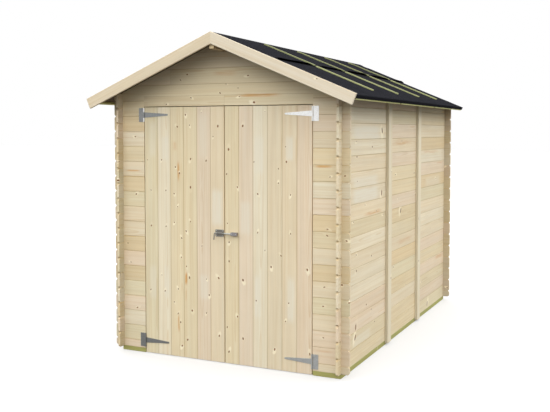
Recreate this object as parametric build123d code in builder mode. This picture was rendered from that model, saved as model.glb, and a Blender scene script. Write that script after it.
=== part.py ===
from build123d import *

import math
import os

# Wooden garden shed: interlocking planks crossed at the corners, a felted gable roof
# and a pair of ledged and braced doors in the front gable.
# Millimetres. X runs across the front, Y from front to rear, Z up from the ground.

# Walls
wall_width = 1764.0
wall_length = 2861.0
wall_thickness = 16.0
plank_height = 112.0
plank_overhang = 60.0
corner_play = 0.2
groove_depth = 2.5
groove_height = 5.0
end_notch = 17.0

# Base beams
beam_height = 32.0
beam_width = 60.0

# Ribs on the side walls
rib_width = 85.0
rib_proud = 25.0
rib_foot = 15.0
rib_spacing = 852.0
rib_edge = 2.0
bay_play = 1.0

# Doors
boards_per_leaf = 6
door_board_width = 111.5
leaf_thickness = 16.0
leaf_height = 1827.0
leaf_foot = 5.0
door_gap = 5.0
ledge_height = 90.0
ledge_thickness = 18.0
ledge_inset = 45.0
ledge_edge = 2.0
top_ledge_drop = 22.5
brace_run = 110.0
brace_play = 0.3

# Door frame and lintel
post_width = 45.0
post_depth = 30.0
lintel_height = 74.0
lintel_joint = 1.0

# Roof
roof_slope = 22.8
roof_board = 16.0
slope_length = 1128.0
front_reach = 178.0
rear_reach = 20.0
ridge_beam_width = 36.0
ridge_beam_height = 87.0
felt = 3.0
felt_lip = 8.0
ridge_felt_run = 490.0
fascia_width = 77.0
fascia_thickness = 17.0
fascia_cover = 4.0
eave_strip_width = 22.0
eave_strip_height = 15.0

# Battens that hold the felt down
battens_per_slope = 4
batten_spacing = 615.0
batten_width = 22.0
batten_height = 10.0
lower_batten_length = 480.0
upper_batten_length = 450.0
batten_end_gap = 11.0
rear_batten_margin = 463.0

# T hinges
hinge_leaf_thickness = 3.0
hinge_plate_width = 45.0
hinge_plate_height = 102.0
strap_length = 200.0
strap_height = 40.0
strap_tip = 12.0
knuckle_radius = 5.5
pin_radius = 2.5
pin_play = 0.1
knuckle_gap = 0.5
knuckle_room = 1.0
hinge_above_foot = 91.0
hinge_below_top = 56.0

# Barrel bolt across the meeting line
bolt_height = 933.0
bolt_plate_length = 68.0
bolt_plate_height = 50.0
bolt_plate_thickness = 2.0
bolt_plate_edge = 6.0
barrel_length = 46.0
barrel_radius = 10.0
rod_radius = 5.0
rod_play = 0.3
rod_standoff = 13.0
rod_length = 74.0
rod_gap = 3.0
lever_place = 65.0
lever_radius = 3.5
lever_reach = 20.0
lever_drop = 46.0
lever_lean = 4.0
keeper_place = 58.0
keeper_length = 50.0
keeper_height = 22.0
keeper_depth = 22.0
keeper_edge = 3.0

# Doorway
leaf_width = boards_per_leaf * door_board_width
doorway_half = leaf_width + 1.5 * door_gap
leaf_near = door_gap / 2
leaf_top = leaf_foot + leaf_height
lintel_foot = leaf_top + door_gap
lintel_top = lintel_foot + lintel_height

# Courses: the side planks end over the lintel, and the front ones lie half a course lower
side_courses = math.ceil((lintel_top - beam_height) / plank_height)
side_top = beam_height + plank_height * side_courses
half_width = wall_width / 2
slope = math.radians(roof_slope)
ridge_under = side_top + half_width * math.tan(slope)
courses_to_ridge = math.ceil((ridge_under - beam_height) / plank_height)
side_joints = [beam_height + plank_height * n for n in range(1, side_courses)]
front_joints = [beam_height + plank_height * (n + 0.5) for n in range(courses_to_ridge)]
gable_base = max(z for z in front_joints if z <= lintel_top)
neck = plank_height / 2

# Faces across the shed, with the origin in the middle of its length
rear_extent = max(plank_overhang, rear_reach + felt)
front_face = -(wall_length + rear_extent - front_reach - fascia_thickness) / 2
front_back = front_face + wall_thickness
rear_face = front_face + wall_length
roof_front = front_face - front_reach
roof_rear = rear_face + rear_reach
through = 2 * wall_thickness
roof_outside = roof_board + felt
fascia_top = roof_outside + felt + fascia_cover

# Ironwork
hinge_axis_x = doorway_half - door_gap / 2
hinge_axis_y = front_face - knuckle_radius
lower_hinge = leaf_foot + hinge_above_foot
upper_hinge = leaf_top - hinge_below_top
rod_axis_y = front_face - rod_standoff

sides = (("left", -1), ("right", 1))
hinge_levels = (lower_hinge, upper_hinge)

os.makedirs("parts", exist_ok=True)


def save(piece, name):
    """Label a finished piece and write it to its own file."""
    piece.label = name
    export_step(piece, f"parts/{name}.step")


def under_roof(x):
    """Height of the roof boards' underside at a distance x from the ridge line."""
    return ridge_under - abs(x) * math.tan(slope)


def on_slope(side, run, rise):
    """Point of the roof section: run down the slope, rise square above its underside."""
    x = run * math.cos(slope) + rise * math.sin(slope)
    z = ridge_under - run * math.sin(slope) + rise * math.cos(slope)
    return (side * x, z)


def at_ridge(side, rise):
    """Point above the ridge line where a layer at this rise meets its twin."""
    return on_slope(side, -rise * math.tan(slope), rise)


def grooved(start, end, joints, face, back):
    """Section of boards side by side, with a V at each joint on the outer face."""
    inward = math.copysign(groove_depth, back - face)
    half = groove_height / 2
    outline = [(end, back), (start, back), (start, face)]
    for u in joints:
        if start + half < u < end - half:
            outline += [(u - half, face), (u, face + inward), (u + half, face)]
    outline.append((end, face))
    return outline


def stacked(low, high, joints, face, back):
    """The same section for planks that lie one on another, as (across, height)."""
    return [(v, u) for u, v in grooved(low, high, joints, face, back)]


def cross_wall(x_from, x_to, low, high, face, back):
    """Planks laid across the shed, notched where the side walls pass through."""
    middle = (face + back) / 2
    corner = half_width - wall_thickness / 2
    ends = half_width + plank_overhang
    columns = [x for x in (-corner, corner) if x_from < x < x_to]
    tips = [x for x in (x_from, x_to) if abs(x) == ends]
    seams = [z for z in front_joints if low <= z < high + neck / 2]
    with BuildPart() as wall:
        with BuildSketch(Plane.YZ.offset(x_from)):
            Polygon(*stacked(low, high, front_joints, face, back), align=None)
        extrude(amount=x_to - x_from)
        with Locations(*[(x, middle, z) for x in columns for z in seams]):
            Box(wall_thickness + 2 * corner_play, through, neck, mode=Mode.SUBTRACT)
        with Locations(*[(x, middle, z) for x in tips for z in seams]):
            Box(end_notch, through, end_notch, rotation=(0, 45, 0), mode=Mode.SUBTRACT)
    return wall.part


def under_gable(wall, face, back):
    """Cut a cross wall to the roof's underside and seat the ridge beam in it."""
    wide = half_width + 2 * plank_overhang
    seat = ridge_under - ridge_beam_height
    outline = [(-wide, 0), (wide, 0), (wide, under_roof(wide)), (0, ridge_under)]
    outline.append((-wide, under_roof(wide)))
    with BuildPart() as gable:
        add(wall)
        with BuildSketch(Plane.XZ.offset(-back)):
            Polygon(*outline, align=None)
        extrude(amount=back - face, mode=Mode.INTERSECT)
        with Locations((0, (face + back) / 2, seat)):
            Box(
                ridge_beam_width + 2 * corner_play,
                through,
                2 * ridge_beam_height,
                align=(Align.CENTER, Align.CENTER, Align.MIN),
                mode=Mode.SUBTRACT,
            )
    return gable.part


# Front wall: a flank each side of the doorway, and the gable over it
for side_name, side in sides:
    reach = half_width + plank_overhang
    edges = sorted((side * reach, side * doorway_half))
    with BuildPart() as flank:
        add(cross_wall(*edges, beam_height, gable_base, front_face, front_back))
    save(flank.part, f"front_wall_{side_name}")

with BuildPart() as front_gable:
    reach = half_width + plank_overhang
    planks = cross_wall(-reach, reach, gable_base, ridge_under, front_face, front_back)
    add(under_gable(planks, front_face, front_back))
    with Locations((0, (front_face + front_back) / 2, gable_base)):
        Box(
            2 * (doorway_half + corner_play),
            through,
            2 * (lintel_top - gable_base),
            mode=Mode.SUBTRACT,
        )
save(front_gable.part, "front_gable")

with BuildPart() as lintel_boards:
    board = doorway_half - lintel_joint / 2
    middle = (board + lintel_joint) / 2
    with Locations(*[(side * middle, front_face, lintel_foot) for _, side in sides]):
        Box(
            board,
            wall_thickness,
            lintel_height,
            align=(Align.CENTER, Align.MIN, Align.MIN),
        )
save(lintel_boards.part, "lintel_boards")

# Rear wall and gable, with no opening
with BuildPart() as rear_wall:
    reach = half_width + plank_overhang
    rear_back = rear_face - wall_thickness
    add(cross_wall(-reach, reach, beam_height, gable_base, rear_face, rear_back))
save(rear_wall.part, "rear_wall")

with BuildPart() as rear_gable:
    planks = cross_wall(-reach, reach, gable_base, ridge_under, rear_face, rear_back)
    add(under_gable(planks, rear_back, rear_face))
save(rear_gable.part, "rear_gable")

# Side walls, half a course out of step with the front, in three bays behind the ribs
rib_places = [front_face + wall_length / 2 + step * rib_spacing / 2 for step in (-1, 1)]
bay_ends = [
    ("front", front_face - plank_overhang, rib_places[0] - bay_play / 2),
    ("middle", rib_places[0] + bay_play / 2, rib_places[1] - bay_play / 2),
    ("rear", rib_places[1] + bay_play / 2, rear_face + plank_overhang),
]
corner_rows = (front_face + wall_thickness / 2, rear_face - wall_thickness / 2)
front_necks = [beam_height + plank_height * n for n in range(side_courses + 1)]
for side_name, side in sides:
    face = side * half_width
    back = side * (half_width - wall_thickness)
    middle = (face + back) / 2
    for bay, bay_from, bay_to in bay_ends:
        rows = [y for y in corner_rows if bay_from < y < bay_to]
        tips = [y for y in (bay_from, bay_to) if y < front_face or y > rear_face]
        with BuildPart() as side_wall:
            with BuildSketch(Plane.XZ.offset(-bay_to)):
                Polygon(*stacked(beam_height, side_top, side_joints, face, back), align=None)
            extrude(amount=bay_to - bay_from)
            if rows:
                with Locations(*[(middle, y, z) for y in rows for z in front_necks]):
                    Box(through, wall_thickness + 2 * corner_play, neck, mode=Mode.SUBTRACT)
                with Locations(*[(middle, y, z) for y in tips for z in side_joints]):
                    Box(through, end_notch, end_notch, rotation=(45, 0, 0), mode=Mode.SUBTRACT)
        save(side_wall.part, f"{side_name}_wall_{bay}")

# Ribs that cover the joints between the bays
for side_name, side in sides:
    rib_top = under_roof(half_width + rib_proud)
    with BuildPart() as ribs:
        with Locations(*[(side * (half_width + rib_proud / 2), y, rib_foot) for y in rib_places]):
            Box(
                rib_proud,
                rib_width,
                rib_top - rib_foot,
                align=(Align.CENTER, Align.CENTER, Align.MIN),
            )
        uprights = ribs.edges().filter_by(Axis.Z)
        outer = uprights.group_by(Axis.X)[-1 if side > 0 else 0]
        chamfer(outer, rib_edge)
    save(ribs.part, f"{side_name}_wall_ribs")

# Base beams
with BuildPart() as base_beam_front:
    with Locations((0, front_face, 0)):
        Box(
            wall_width,
            beam_width,
            beam_height,
            align=(Align.CENTER, Align.MIN, Align.MIN),
        )
        Box(
            2 * doorway_half,
            leaf_thickness + door_gap,
            beam_height,
            align=(Align.CENTER, Align.MIN, Align.MIN),
            mode=Mode.SUBTRACT,
        )
save(base_beam_front.part, "base_beam_front")

with BuildPart() as base_beam_rear:
    with Locations((0, rear_face, 0)):
        Box(
            wall_width,
            beam_width,
            beam_height,
            align=(Align.CENTER, Align.MAX, Align.MIN),
        )
save(base_beam_rear.part, "base_beam_rear")

for side_name, side in sides:
    with BuildPart() as side_beam:
        with Locations((side * (half_width - beam_width / 2), front_face + wall_length / 2, 0)):
            Box(
                beam_width,
                wall_length - 2 * beam_width,
                beam_height,
                align=(Align.CENTER, Align.CENTER, Align.MIN),
            )
    save(side_beam.part, f"base_beam_{side_name}")

# Door frame behind the front planks
for side_name, side in sides:
    with BuildPart() as door_post:
        with Locations((side * (doorway_half + post_width / 2), front_back, beam_height)):
            Box(
                post_width,
                post_depth,
                lintel_foot - beam_height,
                align=(Align.CENTER, Align.MIN, Align.MIN),
            )
    save(door_post.part, f"door_post_{side_name}")

with BuildPart() as door_head:
    with Locations((0, front_back, lintel_foot)):
        Box(
            2 * (doorway_half + post_width),
            post_depth,
            lintel_height,
            align=(Align.CENTER, Align.MIN, Align.MIN),
        )
save(door_head.part, "door_head")

# Roof structure and covering
with BuildPart() as ridge_beam:
    half_beam = ridge_beam_width / 2
    beam_foot = ridge_under - ridge_beam_height
    with BuildSketch(Plane.XZ.offset(-roof_rear)):
        Polygon(
            (-half_beam, beam_foot),
            (half_beam, beam_foot),
            (half_beam, under_roof(half_beam)),
            (0, ridge_under),
            (-half_beam, under_roof(half_beam)),
            align=None,
        )
    extrude(amount=roof_rear - roof_front)
save(ridge_beam.part, "ridge_beam")

for side_name, side in sides:
    with BuildPart() as roof_boards:
        with BuildSketch(Plane.XZ.offset(-roof_rear)):
            Polygon(
                at_ridge(side, 0),
                on_slope(side, slope_length, 0),
                on_slope(side, slope_length, roof_board),
                at_ridge(side, roof_board),
                align=None,
            )
        extrude(amount=roof_rear - roof_front)
    save(roof_boards.part, f"roof_boards_{side_name}")

    with BuildPart() as eave_strip:
        with BuildSketch(Plane.XZ.offset(-roof_rear)):
            Polygon(
                on_slope(side, slope_length - eave_strip_width, 0),
                on_slope(side, slope_length, 0),
                on_slope(side, slope_length, -eave_strip_height),
                on_slope(side, slope_length - eave_strip_width, -eave_strip_height),
                align=None,
            )
        extrude(amount=roof_rear - roof_front)
    save(eave_strip.part, f"eave_strip_{side_name}")

    with BuildPart() as felt_sheet:
        with BuildSketch(Plane.XZ.offset(-roof_rear)):
            Polygon(
                at_ridge(side, roof_board),
                on_slope(side, slope_length, roof_board),
                on_slope(side, slope_length, -felt_lip),
                on_slope(side, slope_length + felt, -felt_lip),
                on_slope(side, slope_length + felt, roof_outside),
                at_ridge(side, roof_outside),
                align=None,
            )
        extrude(amount=roof_rear - roof_front)
        with BuildSketch(Plane.XZ.offset(-roof_rear - felt)):
            Polygon(
                at_ridge(side, 0),
                on_slope(side, slope_length + felt, 0),
                on_slope(side, slope_length + felt, roof_outside),
                at_ridge(side, roof_outside),
                align=None,
            )
        extrude(amount=felt)
    save(felt_sheet.part, f"felt_{side_name}")

with BuildPart() as felt_ridge:
    with BuildSketch(Plane.XZ.offset(-roof_rear)):
        Polygon(
            at_ridge(1, roof_outside),
            on_slope(1, ridge_felt_run, roof_outside),
            on_slope(1, ridge_felt_run, roof_outside + felt),
            at_ridge(1, roof_outside + felt),
            on_slope(-1, ridge_felt_run, roof_outside + felt),
            on_slope(-1, ridge_felt_run, roof_outside),
            align=None,
        )
    extrude(amount=roof_rear - roof_front)
save(felt_ridge.part, "felt_ridge")

rear_batten = rear_face - rear_batten_margin
batten_places = [rear_batten - batten_spacing * n for n in range(battens_per_slope)]
lower_from = ridge_felt_run + batten_end_gap
lower_to = lower_from + lower_batten_length
upper_from = ridge_felt_run - upper_batten_length
lap_face = roof_outside + felt
for side_name, side in sides:
    with BuildPart() as battens:
        for place in batten_places:
            with BuildSketch(Plane.XZ.offset(-place - batten_width / 2)):
                Polygon(
                    on_slope(side, lower_from, roof_outside),
                    on_slope(side, lower_to, roof_outside),
                    on_slope(side, lower_to, roof_outside + batten_height),
                    on_slope(side, lower_from, roof_outside + batten_height),
                    align=None,
                )
                Polygon(
                    on_slope(side, upper_from, lap_face),
                    on_slope(side, ridge_felt_run, lap_face),
                    on_slope(side, ridge_felt_run, lap_face + batten_height),
                    on_slope(side, upper_from, lap_face + batten_height),
                    align=None,
                )
            extrude(amount=batten_width)
    save(battens.part, f"battens_{side_name}")

for side_name, side in sides:
    with BuildPart() as fascia:
        with BuildSketch(Plane.XZ.offset(-roof_front)):
            Polygon(
                at_ridge(side, fascia_top),
                on_slope(side, slope_length, fascia_top),
                on_slope(side, slope_length, fascia_top - fascia_width),
                at_ridge(side, fascia_top - fascia_width),
                align=None,
            )
        extrude(amount=fascia_thickness)
    save(fascia.part, f"fascia_{side_name}")

# Doors: boards with V joints, ledges and braces behind them
ledge_middles = (lower_hinge, bolt_height, upper_hinge - top_ledge_drop)
for side_name, side in sides:
    near = side * leaf_near
    far = side * (leaf_near + leaf_width)
    edges = sorted((near, far))
    seams = [edges[0] + door_board_width * n for n in range(1, boards_per_leaf)]
    with BuildPart() as door_boards:
        with BuildSketch(Plane.XY.offset(leaf_foot)):
            outline = grooved(*edges, seams, front_face, front_face + leaf_thickness)
            Polygon(*outline, align=None)
        extrude(amount=leaf_height)
    save(door_boards.part, f"{side_name}_door_boards")

    ledge_length = leaf_width - 2 * ledge_inset
    leaf_middle = (near + far) / 2
    leaf_back = front_face + leaf_thickness
    with BuildPart() as ledges:
        with Locations(*[(leaf_middle, leaf_back, z) for z in ledge_middles]):
            Box(
                ledge_length,
                ledge_thickness,
                ledge_height,
                align=(Align.CENTER, Align.MIN, Align.CENTER),
            )
        chamfer(ledges.faces().group_by(Axis.Y)[-1].edges(), ledge_edge)
    save(ledges.part, f"{side_name}_door_ledges")

    hinge_end = leaf_middle + side * ledge_length / 2
    lock_end = leaf_middle - side * ledge_length / 2
    with BuildPart() as braces:
        with BuildSketch(Plane.XZ.offset(-leaf_back - ledge_thickness)):
            for lower, upper in zip(ledge_middles, ledge_middles[1:]):
                foot = lower + ledge_height / 2 + brace_play
                head = upper - ledge_height / 2 - brace_play
                Polygon(
                    (hinge_end, foot),
                    (hinge_end - side * brace_run, foot),
                    (lock_end, head),
                    (lock_end + side * brace_run, head),
                    align=None,
                )
        extrude(amount=ledge_thickness)
    save(braces.part, f"{side_name}_door_braces")

# T hinges: plates with the pins on the wall, tapered straps on the leaves
for side_name, side in sides:
    axis_x = side * hinge_axis_x
    knuckle = (hinge_plate_height - strap_height) / 2 - knuckle_gap
    knuckle_offset = (hinge_plate_height - knuckle) / 2
    with BuildPart() as hinge_plates:
        for level in hinge_levels:
            with Locations((axis_x, front_face, level)):
                Box(
                    hinge_plate_width,
                    hinge_leaf_thickness,
                    hinge_plate_height,
                    align=(Align.MIN if side > 0 else Align.MAX, Align.MAX, Align.CENTER),
                )
            with Locations((axis_x, hinge_axis_y, level)):
                Box(
                    2 * (knuckle_radius + knuckle_room),
                    2 * (knuckle_radius + knuckle_room),
                    strap_height + 2 * knuckle_gap,
                    mode=Mode.SUBTRACT,
                )
                Cylinder(pin_radius, hinge_plate_height)
            ends = [(axis_x, hinge_axis_y, level + step * knuckle_offset) for step in (-1, 1)]
            with Locations(*ends):
                Cylinder(knuckle_radius, knuckle)
    save(hinge_plates.part, f"{side_name}_hinge_plates")

    with BuildPart() as hinge_straps:
        for level in hinge_levels:
            tip_x = axis_x - side * strap_length
            with BuildSketch(Plane.XZ.offset(-front_face)):
                Polygon(
                    (axis_x, level - strap_height / 2),
                    (axis_x - side * knuckle_radius, level - strap_height / 2),
                    (tip_x, level - strap_tip / 2),
                    (tip_x, level + strap_tip / 2),
                    (axis_x - side * knuckle_radius, level + strap_height / 2),
                    (axis_x, level + strap_height / 2),
                    align=None,
                )
                with Locations((tip_x, level)):
                    Circle(strap_tip / 2)
            extrude(amount=hinge_leaf_thickness)
            with Locations((axis_x, hinge_axis_y, level)):
                Cylinder(knuckle_radius, strap_height)
                Cylinder(pin_radius + pin_play, strap_height, mode=Mode.SUBTRACT)
    save(hinge_straps.part, f"{side_name}_hinge_straps")

# Barrel bolt: the case on the left leaf, the keeper on the right one
case_right = -bolt_plate_edge
barrel_right = case_right - bolt_plate_edge / 2
with BuildPart() as bolt_case:
    with Locations((case_right, front_face, bolt_height)):
        Box(
            bolt_plate_length,
            bolt_plate_thickness,
            bolt_plate_height,
            align=(Align.MAX, Align.MAX, Align.CENTER),
        )
        chamfer(bolt_case.edges().filter_by(Axis.Y), bolt_plate_edge)
    with BuildSketch(Plane.YZ.offset(barrel_right - barrel_length)):
        with Locations((rod_axis_y, bolt_height)):
            Circle(barrel_radius)
        with Locations((front_face, bolt_height)):
            Rectangle(rod_standoff, 2 * barrel_radius, align=(Align.MAX, Align.CENTER))
        with Locations((rod_axis_y, bolt_height)):
            Circle(rod_radius + rod_play, mode=Mode.SUBTRACT)
    extrude(amount=barrel_length)
save(bolt_case.part, "bolt_case")

with BuildPart() as bolt_rod:
    with BuildSketch(Plane.YZ.offset(-rod_gap / 2 - rod_length)):
        with Locations((rod_axis_y, bolt_height)):
            Circle(rod_radius)
    extrude(amount=rod_length)
    with BuildLine() as lever_line:
        Polyline(
            (-lever_place, rod_axis_y, bolt_height),
            (-lever_place, rod_axis_y - lever_reach, bolt_height),
            (-lever_place - lever_lean, rod_axis_y - lever_reach, bolt_height - lever_drop),
        )
    with BuildSketch(Plane(origin=lever_line.line @ 0, z_dir=lever_line.line % 0)):
        Circle(lever_radius)
    sweep(path=lever_line.line, transition=Transition.RIGHT)
save(bolt_rod.part, "bolt_rod")

with BuildPart() as bolt_keeper:
    with Locations((keeper_place, front_face, bolt_height)):
        Box(
            keeper_length,
            keeper_depth,
            keeper_height,
            align=(Align.MIN, Align.MAX, Align.CENTER),
        )
    fillet(bolt_keeper.edges().filter_by(Axis.X).group_by(Axis.Y)[0], keeper_edge)
    with BuildSketch(Plane.YZ.offset(rod_gap / 2)):
        with Locations((rod_axis_y, bolt_height)):
            Circle(rod_radius)
    extrude(amount=keeper_place)
save(bolt_keeper.part, "bolt_keeper")
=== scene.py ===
import math
import random

import bmesh
import bpy
from mathutils import Matrix, Vector, noise


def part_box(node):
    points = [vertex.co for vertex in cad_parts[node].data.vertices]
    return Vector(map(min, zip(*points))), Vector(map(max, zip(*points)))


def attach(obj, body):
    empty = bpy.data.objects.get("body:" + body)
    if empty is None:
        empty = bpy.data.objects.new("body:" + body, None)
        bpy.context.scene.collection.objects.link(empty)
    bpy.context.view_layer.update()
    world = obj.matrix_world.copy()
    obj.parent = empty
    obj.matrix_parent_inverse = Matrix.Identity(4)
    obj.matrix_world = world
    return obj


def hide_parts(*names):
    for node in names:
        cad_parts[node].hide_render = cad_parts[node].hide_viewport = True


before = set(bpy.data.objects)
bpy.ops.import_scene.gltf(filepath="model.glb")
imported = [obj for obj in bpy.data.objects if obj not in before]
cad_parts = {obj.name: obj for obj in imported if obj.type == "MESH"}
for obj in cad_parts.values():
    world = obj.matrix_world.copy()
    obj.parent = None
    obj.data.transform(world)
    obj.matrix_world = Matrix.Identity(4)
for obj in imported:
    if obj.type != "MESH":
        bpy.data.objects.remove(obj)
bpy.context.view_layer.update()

# Looks of the garden shed: planed spruce planks with their knots, ledged doors, felted roof
# with battens, galvanised ironwork. Metres, in the frame of the construction model.

chance = random.Random(23)

# Places taken from the construction
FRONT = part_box("front_wall_left")[0].y
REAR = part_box("rear_wall")[1].y
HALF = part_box("right_wall_middle")[1].x
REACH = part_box("rear_wall")[1].x
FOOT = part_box("front_wall_left")[0].z
SIDE_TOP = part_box("right_wall_middle")[1].z
GABLE_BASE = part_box("front_gable")[0].z
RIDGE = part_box("ridge_beam")[1].z
SIDE_ENDS = (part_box("right_wall_front")[0].y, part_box("right_wall_rear")[1].y)
BAY_ENDS = (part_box("right_wall_front")[1].y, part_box("right_wall_middle")[1].y)
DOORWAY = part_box("front_wall_right")[0].x
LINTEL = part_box("lintel_boards")
ROOF_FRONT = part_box("roof_boards_right")[0].y
ROOF_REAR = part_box("roof_boards_right")[1].y
SLOPE = math.atan((RIDGE - SIDE_TOP) / HALF)
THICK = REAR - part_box("rear_wall")[0].y
ROOF_BOARD = 0.016
RUN = (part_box("roof_boards_right")[1].x - ROOF_BOARD * math.sin(SLOPE)) / math.cos(SLOPE)

# Boards: the cover of a plank, the notches that crossing planks pass through, the V joints
PLANK = 0.112
CORNER_COLUMN = HALF - THICK / 2
NOTCH_HALF = 0.0082
NOTCH_DEPTH = PLANK / 4
GROOVE = 0.0027
GABLE_GROOVE = 0.0018
LINTEL_GROOVE = 0.0015
DOOR_GROOVE = 0.0024
BUTT_GAP = 0.0004
LEAF_GAP = 0.0005
BAY_GAP = 0.001
TIP = 0.012
SAWN_EASE = 0.002
PLANED_EASE = 0.0015
SLIM_EASE = 0.0012
SIDES = (("left", -1), ("right", 1))

# Felt and battens
FELT = 0.003
FELT_TOP = ROOF_BOARD + FELT
LAP_RUN = 0.490
BATTEN_WIDTH = 0.022
BATTEN_SPACING = 0.615
REAR_BATTEN = REAR - 0.463
BATTEN_PLACES = [REAR_BATTEN - BATTEN_SPACING * n for n in range(4)]

# The camera, as found from the photograph, with its lengths in metres or picture points
CAMERA_PLACE = Vector((2.7589, -6.3749, 1.6595))
CAMERA_TURN = math.radians(25.2508)
CAMERA_PITCH = math.radians(2.8008)
PICTURE_WIDTH = 550
PICTURE_HEIGHT = 412
FOCAL_PX = 809.17
HORIZON_AXIS_PY = 170.39
SENSOR_MM = 36.0


def linear(red, green, blue):
    """A screen colour, 0 to 255, as the light that it stands for."""
    shares = [channel / 255 for channel in (red, green, blue)]
    return Vector([s / 12.92 if s <= 0.04045 else ((s + 0.055) / 1.055) ** 2.4 for s in shares])


TONES = {
    "cream": linear(231, 217, 188),
    "straw": linear(229, 214, 180),
    "honey": linear(225, 207, 170),
    "pale": linear(233, 222, 196),
    "rose": linear(231, 214, 188),
    "sage": linear(226, 215, 183),
}
COMMON_TONES = ("cream", "cream", "straw", "straw", "rose", "rose", "pale", "sage", "honey")
FASCIA_TONES = {"left": linear(222, 208, 181), "right": linear(226, 216, 195)}
FRAME_TONE = linear(220, 200, 160)
BEAM_TONE = linear(172, 170, 104)
BATTEN_TONE = linear(160, 165, 116)
# Painted shade: the battens on the ridge course are a darker copy of the batten tone
UPPER_BATTEN_PAINTED_SHADE_TONE = linear(138, 143, 99)
# Painted light: the eave strips' tone is raised to make up for the shade that they stand in
STRIP_PAINTED_LIGHT_TONE = linear(226, 228, 160)
# Painted shade: the roof boards get a dark tone, as the deep shade under the eaves
SOFFIT_PAINTED_SHADE_TONE = linear(94, 79, 57)
# Painted shade: shares of a board's tone in its grooves, on its back and on the ends past a corner,
# darker where shade falls there
GROOVE_PAINTED_SHADE = Vector((0.80, 0.75, 0.66))
BACK_PAINTED_SHADE = 0.76
TAIL_PAINTED_SHADE = 0.86
# Knots over this size are seen along a branch, as spikes
TALL_KNOT = 0.0085


def make_camera():
    camera = bpy.data.cameras.new("camera")
    camera.sensor_width = SENSOR_MM
    camera.lens = FOCAL_PX * SENSOR_MM / PICTURE_WIDTH
    camera.shift_y = (HORIZON_AXIS_PY - PICTURE_HEIGHT / 2) / PICTURE_WIDTH
    camera.clip_end = 200
    eye = bpy.data.objects.new("camera", camera)
    eye.location = CAMERA_PLACE
    eye.rotation_euler = (math.pi / 2 - CAMERA_PITCH, 0, CAMERA_TURN)
    bpy.context.scene.collection.objects.link(eye)
    bpy.context.scene.camera = eye
    return eye.rotation_euler.to_matrix()


CAMERA_AXES = make_camera()


def seen(px, py, axis, value):
    """Where the sight line through a picture point meets the plane axis = value."""
    ray = CAMERA_AXES @ Vector(
        ((px - PICTURE_WIDTH / 2) / FOCAL_PX, (HORIZON_AXIS_PY - py) / FOCAL_PX, -1)
    )
    return CAMERA_PLACE + ray * ((value - CAMERA_PLACE[axis]) / ray[axis])


# Picture points of the seams in the eave strip and of the butt joint in the gable
EAVE_SEAM_POINTS = ((401.4, 103), (435.2, 107))
BUTT_POINT = (170.3, 81.5)
EAVE_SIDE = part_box("eave_strip_right")[1].x
EAVE_SEAMS = [seen(px, py, 0, EAVE_SIDE).y for px, py in EAVE_SEAM_POINTS]
BUTT_JOINT = seen(*BUTT_POINT, 1, FRONT)

# Nodes and materials

# What the boards' corners carry to their material
LAYERS = ("grain", "tint", "knot", "stain")


class Wire:
    """A value in a node tree, so that shading reads as plain arithmetic."""

    def __init__(self, tree, socket):
        self.tree = tree
        self.socket = socket

    def maths(self, operation, other=0.0):
        return node(self.tree, "ShaderNodeMath", {0: self, 1: other}, operation=operation)

    def __add__(self, other):
        return self.maths("ADD", other)

    def __sub__(self, other):
        return self.maths("SUBTRACT", other)

    def __mul__(self, other):
        return self.maths("MULTIPLY", other)

    def __truediv__(self, other):
        return self.maths("DIVIDE", other)

    def vector_maths(self, operation, inputs, output=0):
        return node(self.tree, "ShaderNodeVectorMath", {0: self, **inputs}, output, operation=operation)

    def stretch(self, *scale):
        return self.vector_maths("MULTIPLY", {1: scale})

    def shift(self, *step):
        return self.vector_maths("ADD", {1: step})

    def scaled(self, factor):
        return self.vector_maths("SCALE", {"Scale": factor})

    def length(self):
        return self.vector_maths("LENGTH", {}, "Value")

    def part(self, index):
        return node(self.tree, "ShaderNodeSeparateXYZ", {0: self}, index)

    def channel(self):
        return node(self.tree, "ShaderNodeSeparateColor", {0: self}, 0)

    def grains(self, scale=1.0, detail=2.0):
        """Soft noise over this vector."""
        inputs = {"Vector": self, "Scale": scale, "Detail": detail}
        return node(self.tree, "ShaderNodeTexNoise", inputs, "Fac")

    def cells(self, scale, output):
        """Grains with edges over this vector: their random colours or the distance from each."""
        return node(self.tree, "ShaderNodeTexVoronoi", {"Vector": self, "Scale": scale}, output)

    def spread(self, low, high, to_low=0.0, to_high=1.0):
        """This value eased from one span to another."""
        inputs = {0: self, 1: low, 2: high, 3: to_low, 4: to_high}
        return node(self.tree, "ShaderNodeMapRange", inputs, interpolation_type="SMOOTHSTEP")

    def between(self, first, second):
        """The first colour where this value is nought, the second where it is one."""
        return node(self.tree, "ShaderNodeMix", {0: self, 6: first, 7: second}, 2, data_type="RGBA")

    def through(self, colour):
        """This colour as seen through another one."""
        inputs = {0: 1.0, 6: self, 7: colour}
        return node(self.tree, "ShaderNodeMix", inputs, 2, data_type="RGBA", blend_type="MULTIPLY")

    def bump(self, strength, depth):
        inputs = {"Height": self, "Strength": strength, "Distance": depth}
        return node(self.tree, "ShaderNodeBump", inputs, "Normal")


def feed(tree, made, inputs):
    for name, value in inputs.items():
        if isinstance(value, Wire):
            tree.links.new(value.socket, made.inputs[name])
        else:
            made.inputs[name].default_value = value


def node(tree, kind, inputs, output=0, **settings):
    made = tree.nodes.new(kind)
    for name, value in settings.items():
        setattr(made, name, value)
    feed(tree, made, inputs)
    return Wire(tree, made.outputs[output])


def attribute(tree, name):
    return node(tree, "ShaderNodeAttribute", {}, "Vector", attribute_name=name)


def object_place(tree):
    return node(tree, "ShaderNodeTexCoord", {}, "Object")


def paint(red, green, blue):
    return (*linear(red, green, blue), 1.0)


def start_material(name):
    material = bpy.data.materials.new(name)
    material.use_nodes = True
    tree = material.node_tree
    tree.nodes.clear()
    output = tree.nodes.new("ShaderNodeOutputMaterial")
    shader = tree.nodes.new("ShaderNodeBsdfPrincipled")
    tree.links.new(shader.outputs["BSDF"], output.inputs["Surface"])
    return material, tree, shader


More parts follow.
